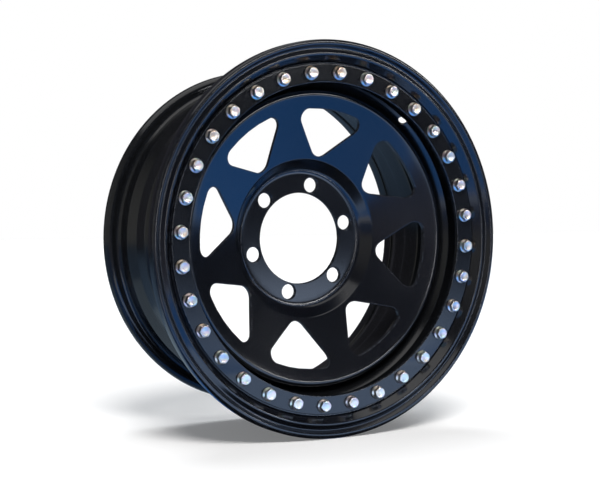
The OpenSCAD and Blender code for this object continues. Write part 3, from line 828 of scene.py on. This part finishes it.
def bolt_head():
    """One bolt about its own axis: the angles round it, and for each loop from the shank's tip to the
    middle of the head the radii and the heights above the plate. The hexagon's top is cut by a cone
    that falls by tan 30 degrees times the way out, and its foot rises from the flange to the flats."""
    turn = np.arange(BOLT_SIDES) * math.tau / BOLT_SIDES
    circle = np.ones(BOLT_SIDES)
    corner = HEX_HALF / math.cos(math.pi / 6) - 0.25
    hexagon = hexagon_r(turn, HEX_HALF, corner)
    cut = HEAD_H - (hexagon - CROWN_R) * math.tan(math.radians(30))
    foot = BOLT_FLANGE_T + 1.3 * (BOLT_FLANGE_R - hexagon) / (BOLT_FLANGE_R - HEX_HALF)
    deep = -PLATE_T - THREAD_DEPTH + 0.2
    loops = [
        (0.05 * circle, deep * circle),
        ((SHANK_R - 0.6) * circle, deep * circle),
        (SHANK_R * circle, (deep + 0.6) * circle),
        (SHANK_R * circle, 0 * circle),
        ((BOLT_FLANGE_R - 0.3) * circle, 0 * circle),
        (BOLT_FLANGE_R * circle, 0.3 * circle),
        (BOLT_FLANGE_R * circle, (BOLT_FLANGE_T - 0.5) * circle),
        ((BOLT_FLANGE_R - 0.15) * circle, (BOLT_FLANGE_T - 0.12) * circle),
        ((BOLT_FLANGE_R - 0.5) * circle, (BOLT_FLANGE_T + 0.1) * circle),
        (hexagon + 0.45, foot - 0.25),
        (hexagon + 0.1, foot + 0.05),
        (hexagon, foot + 0.45),
        (hexagon, cut - 0.25),
        (hexagon - 0.1, cut - 0.04),
        (np.minimum(hexagon - 0.35, CROWN_R + 0.12), np.minimum(cut + 0.2, HEAD_H - 0.03)),
        ((CROWN_R - 0.2) * circle, HEAD_H * circle),
        (DISH_R * circle, HEAD_H * circle),
        ((DISH_R - 0.3) * circle, (HEAD_H - 0.12) * circle),
        ((DISH_R - 1) * circle, (HEAD_H - 0.3) * circle),
        (0.05 * circle, (HEAD_H - 0.35) * circle),
    ]
    return turn, np.array([r for r, z in loops]), np.array([z for r, z in loops])


head_turn, head_r, head_z = bolt_head()
levels = len(head_r)
row = np.arange(levels - 1)[:, None]
col = np.arange(BOLT_SIDES)
after = (col + 1) % BOLT_SIDES
head_faces = np.stack([
    row * BOLT_SIDES + col,
    row * BOLT_SIDES + after,
    (row + 1) * BOLT_SIDES + after,
    (row + 1) * BOLT_SIDES + col,
], -1).reshape(-1, 4)
head_edge = np.where((head_z > 0.2) & (np.abs(head_z - HEAD_H) > 0.2), 0.3, 0.0)
bolt_shells = []
for k in range(BOLT_COUNT):
    at = math.radians(90 - BOLT_CLOCK - k * BOLT_PITCH)
    spun = head_turn + math.radians(k * HEX_STEP % 60)
    x = BOLT_CIRCLE_R + head_r * np.cos(spun)
    y = head_r * np.sin(spun)
    points = np.stack([np.hypot(x, y), np.arctan2(y, x) + at, PLATE_Z + head_z, head_edge], -1)
    bolt_shells.append((points.reshape(-1, 4), head_faces))
bolts = make("zinc_ring_bolts", bolt_shells, crease=40)


def close_ends(piece):
    """Closes the small round opening that the loops leave at each end of a bolt with one face, whose
    corners are the opening's own points."""
    shell = bmesh.new()
    shell.from_mesh(piece.data)
    bmesh.ops.holes_fill(shell, edges=[e for e in shell.edges if e.is_boundary], sides=BOLT_SIDES + 4)
    bmesh.ops.recalc_face_normals(shell, faces=shell.faces)
    shell.to_mesh(piece.data)
    shell.free()


close_ends(bolts)


def zinc_plate():
    """Bright zinc plate: metal whose tint runs through the colours of a thin film as a broad noise rises,
    and faint scuffs from a fine noise, which change its gloss and its normal."""
    material = bpy.data.materials.new("zinc_plate")
    material.use_nodes = True
    tree = material.node_tree
    new = tree.nodes.new
    shader = tree.nodes["Principled BSDF"]
    place = new("ShaderNodeTexCoord")
    hue = new("ShaderNodeTexNoise")
    hue.inputs["Scale"].default_value = 75
    hue.inputs["Detail"].default_value = 1.5
    link(tree, place.outputs["Object"], hue.inputs["Vector"])
    rainbow = new("ShaderNodeValToRGB")
    stops = rainbow.color_ramp.elements
    stops[0].position = 0.30
    stops[0].color = (0.80, 0.58, 0.40, 1)
    stops[1].position = 0.70
    stops[1].color = (0.66, 0.66, 0.66, 1)
    stops.new(0.42).color = (0.82, 0.76, 0.64, 1)
    stops.new(0.52).color = (0.82, 0.64, 0.62, 1)
    stops.new(0.60).color = (0.70, 0.76, 0.60, 1)
    link(tree, hue.outputs["Fac"], rainbow.inputs["Fac"])
    link(tree, rainbow.outputs["Color"], shader.inputs["Base Color"])
    scuff = new("ShaderNodeTexNoise")
    scuff.inputs["Scale"].default_value = 600
    scuff.inputs["Detail"].default_value = 4
    link(tree, place.outputs["Object"], scuff.inputs["Vector"])
    gloss = new("ShaderNodeMapRange")
    gloss.inputs["To Min"].default_value = 0.24
    gloss.inputs["To Max"].default_value = 0.42
    link(tree, scuff.outputs["Fac"], gloss.inputs["Value"])
    link(tree, gloss.outputs["Result"], shader.inputs["Roughness"])
    bump = new("ShaderNodeBump")
    bump.inputs["Strength"].default_value = 0.12
    bump.inputs["Distance"].default_value = 0.0001
    link(tree, scuff.outputs["Fac"], bump.inputs["Height"])
    link(tree, bump.outputs["Normal"], shader.inputs["Normal"])
    shader.inputs["Metallic"].default_value = 1
    return material


bolts.data.materials.append(zinc_plate())
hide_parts("ring_bolts")
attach(bolts, "root")

# Studio
# A pale floor that shows white and keeps the wheel's soft shadow, before a white backdrop, with two
# soft lamps. Dark, grey, blue and bright cards stand and lie round the wheel and show only in gloss.
FLOOR_Z = -0.2446
FLOOR_HALF = 9


def stage_card(name, corners, material):
    """A flat card through four corners, marked as part of the stage and not of the wheel."""
    mesh = bpy.data.meshes.new(name)
    mesh.from_pydata(corners, [], [(0, 1, 2, 3)])
    card = bpy.data.objects.new(name, mesh)
    bpy.context.scene.collection.objects.link(card)
    mesh.materials.append(material)
    return card


def white_for_view(tree, plain, shown, output):
    """Joins two shaders: rays from the camera and those mirrored or let through by the wheel meet the
    one that is shown, and all other rays meet the plain one, so a white backdrop adds no light."""
    rays = tree.nodes.new("ShaderNodeLightPath")
    seen = rays.outputs["Is Camera Ray"]
    for name in ("Is Glossy Ray", "Is Transmission Ray"):
        either = tree.nodes.new("ShaderNodeMath")
        either.operation = "MAXIMUM"
        link(tree, seen, either.inputs[0])
        link(tree, rays.outputs[name], either.inputs[1])
        seen = either.outputs[0]
    mixed = tree.nodes.new("ShaderNodeMixShader")
    link(tree, seen, mixed.inputs["Fac"])
    link(tree, plain, mixed.inputs[1])
    link(tree, shown, mixed.inputs[2])
    link(tree, mixed.outputs[0], output)


def pale_floor():
    """Pale floor. A little light of its own lifts it to white where no shadow falls."""
    material = bpy.data.materials.new("pale_floor")
    material.use_nodes = True
    tree = material.node_tree
    lit = tree.nodes["Principled BSDF"]
    lit.inputs["Base Color"].default_value = (0.80, 0.80, 0.80, 1)
    lit.inputs["Roughness"].default_value = 1
    lit.inputs["Specular IOR Level"].default_value = 0
    lit.inputs["Emission Color"].default_value = (1, 1, 1, 1)
    lit.inputs["Emission Strength"].default_value = 0.16
    plain = tree.nodes.new("ShaderNodeBsdfDiffuse")
    plain.inputs["Color"].default_value = (0.60, 0.66, 0.75, 1)
    white_for_view(tree, plain.outputs[0], lit.outputs[0], tree.nodes["Material Output"].inputs["Surface"])
    return material


stage_card("floor", [
    (-FLOOR_HALF, -FLOOR_HALF, FLOOR_Z),
    (FLOOR_HALF, -FLOOR_HALF, FLOOR_Z),
    (FLOOR_HALF, FLOOR_HALF, FLOOR_Z),
    (-FLOOR_HALF, FLOOR_HALF, FLOOR_Z),
], pale_floor())

world = bpy.data.worlds.new("studio")
bpy.context.scene.world = world
world.use_nodes = True
sky = world.node_tree
dim = sky.nodes["Background"]
dim.inputs["Color"].default_value = (0.85, 0.92, 1.0, 1)
dim.inputs["Strength"].default_value = 0.2
white = sky.nodes.new("ShaderNodeBackground")
white.inputs["Color"].default_value = (1, 1, 1, 1)
white.inputs["Strength"].default_value = 1
white_for_view(sky, dim.outputs[0], white.outputs[0], sky.nodes["World Output"].inputs["Surface"])


def soft_sun(name, energy, angle, tilt, turn, colour):
    """Soft lamp far off, as wide as the angle says. It leans from straight above by the tilt towards
    the front, and is then turned about the vertical. The gloss shows the cards, not the lamps."""
    data = bpy.data.lights.new(name, "SUN")
    data.energy = energy
    data.angle = math.radians(angle)
    data.color = colour
    lamp = bpy.data.objects.new(name, data)
    bpy.context.scene.collection.objects.link(lamp)
    lamp.rotation_euler = (math.radians(tilt), 0, math.radians(turn))
    lamp.visible_glossy = False


soft_sun("soft_key", 3.0, 22, 42.3, -22.7, (1.0, 0.98, 0.96))
soft_sun("soft_top", 1.3, 30, -18, -10, (0.96, 0.98, 1.0))


def gloss_card(name, middle, across, up, low, high):
    """A card seen only in gloss, as a flag or a coloured sheet beside a shiny thing is. Its corners are
    the middle plus or minus across and up. Its glow goes from the low radiance at the edge below to the
    high one at the edge above along a smooth step, and it takes no part in shadows or in the light on
    matt surfaces."""
    material = bpy.data.materials.new(name)
    material.use_nodes = True
    tree = material.node_tree
    tree.nodes.remove(tree.nodes["Principled BSDF"])
    glow = tree.nodes.new("ShaderNodeEmission")
    uv = tree.nodes.new("ShaderNodeUVMap")
    height = tree.nodes.new("ShaderNodeSeparateXYZ")
    link(tree, uv.outputs["UV"], height.inputs[0])
    ramp = tree.nodes.new("ShaderNodeValToRGB")
    ramp.color_ramp.interpolation = "EASE"
    ramp.color_ramp.elements[0].color = (*low, 1)
    ramp.color_ramp.elements[1].color = (*high, 1)
    link(tree, height.outputs["Y"], ramp.inputs["Fac"])
    link(tree, ramp.outputs["Color"], glow.inputs["Color"])
    link(tree, glow.outputs[0], tree.nodes["Material Output"].inputs["Surface"])
    middle, across, up = (np.array(v, float) for v in (middle, across, up))
    corners = [middle - across - up, middle + across - up, middle + across + up, middle - across + up]
    card = stage_card(name, [tuple(corner) for corner in corners], material)
    card.data.uv_layers.new(name="UVMap").data.foreach_set("uv", (0.0, 0.0, 1.0, 0.0, 1.0, 1.0, 0.0, 1.0))
    card.visible_camera = False
    card.visible_diffuse = False
    card.visible_shadow = False
    card.visible_transmission = False


DARK = (0.030, 0.034, 0.045)
DARK_REAR = (0.05, 0.05, 0.06)
DIM = (0.008, 0.009, 0.011)
DIM_REAR = (0.12, 0.19, 0.29)
GREY = (0.16, 0.16, 0.20)
GREY_LEFT = (0.30, 0.30, 0.285)
BLUE = (0.12, 0.50, 1.45)
MILD_BLUE = (0.05, 0.18, 0.52)
DIM_BLUE = (0.06, 0.12, 0.27)
SOFT_BLUE = (0.18, 0.25, 0.38)
PALE_BLUE = (0.9, 1.25, 1.9)
STEEL = (0.32, 0.42, 0.52)
PAD_LOW = (2.2, 2.7, 3.6)
PAD_HIGH = (1.6, 2.0, 2.7)
BRIGHT = (9.0, 9.0, 9.5)
STRIP = (18.0, 18.2, 18.8)
SHEET_GAP = 0.0004

# Each standing card: its middle, half its width, half its height, and the glow at its foot and its top.
gloss_card("dark_flag_right", (3.0, 0, 3.35), (0, 3.0, 0), (0, 0, 3.65), DARK, DARK)
gloss_card("grey_flag_left", (-3.0, 0, 2.1), (0, 3.0, 0), (0, 0, 2.4), GREY_LEFT, DIM)
gloss_card("dark_flag_rear", (0, 3.0, 2.85), (3.0, 0, 0), (0, 0, 3.15), DARK_REAR, DIM)
gloss_card("dark_flag_front", (0, -3.0, 2.425), (3.0, 0, 0), (0, 0, 2.075), DARK, DARK)
gloss_card("grey_card_front", (-1.05, -3.0, 0.053), (1.95, 0, 0), (0, 0, 0.297), GREY, DARK)
gloss_card("dark_card_front", (1.95, -3.0, 0.053), (1.05, 0, 0), (0, 0, 0.297), DARK, DARK)
gloss_card("pad_card", (0.51, -0.87, -0.165), (0.13, 0.075, 0), (0, 0, 0.075), PAD_LOW, PAD_HIGH)
gloss_card("low_card", (0.10, -0.17, -0.2072), (0.50, 0, 0), (0, 0, 0.037), PALE_BLUE, PALE_BLUE)
gloss_card("strip_front_right", (1.50, -2.30, 0.90), (0.76, 0.49, 0), (0, 0, 0.09), STRIP, STRIP)
gloss_card("strip_front", (0.15, -2.5, 0.16), (0.10, 0, 0), (0, 0, 0.30), BRIGHT, BRIGHT)

# Each sheet on the floor: its middle, half its length each way, how many gaps it lies above the floor,
# and the glow at its front and its rear edge.
for name, x, y, half_x, half_y, gaps, front_glow, rear_glow in (
    ("blue_sheet", 1.4, -0.50, 1.6, 0.30, 1, BLUE, BLUE),
    ("blue_sheet_near", -0.15, -0.50, 0.30, 0.30, 1, BLUE, BLUE),
    ("mild_sheet", 1.2, -0.05, 1.8, 0.15, 1, MILD_BLUE, MILD_BLUE),
    ("dark_sheet_under", 0.12, -0.07, 0.40, 0.12, 2, DIM, DIM),
    ("dim_sheet_left", -1.8, -0.35, 1.2, 0.45, 1, DIM_BLUE, DIM_BLUE),
    ("dim_sheet_rear", 0, 1.55, 3.0, 1.45, 1, DIM_REAR, DIM),
    ("barrel_sheet", -0.30, 0.26, 0.30, 0.12, 2, STEEL, STEEL),
    ("grey_sheet", -1.45, -1.9, 1.55, 1.1, 1, GREY, GREY),
    ("pale_sheet", 1.55, -1.9, 1.45, 1.1, 1, SOFT_BLUE, PALE_BLUE),
):
    sheet_middle = (x, y, FLOOR_Z + gaps * SHEET_GAP)
    gloss_card(name, sheet_middle, (half_x, 0, 0), (0, half_y, 0), front_glow, rear_glow)

# Camera
# It stands at the photograph's viewing point, about 1.8 m off and 30 degrees to the left.
camera_data = bpy.data.cameras.new("camera")
camera_data.sensor_width = 36
camera_data.lens = 83.556
camera = bpy.data.objects.new("camera", camera_data)
bpy.context.scene.collection.objects.link(camera)
camera.location = (-0.9001, -1.5395, 0.0436)
camera.rotation_euler = (math.radians(90 - 1.479), 0, math.radians(-30.393))
bpy.context.scene.camera = camera

bpy.context.scene.view_settings.view_transform = "Standard"
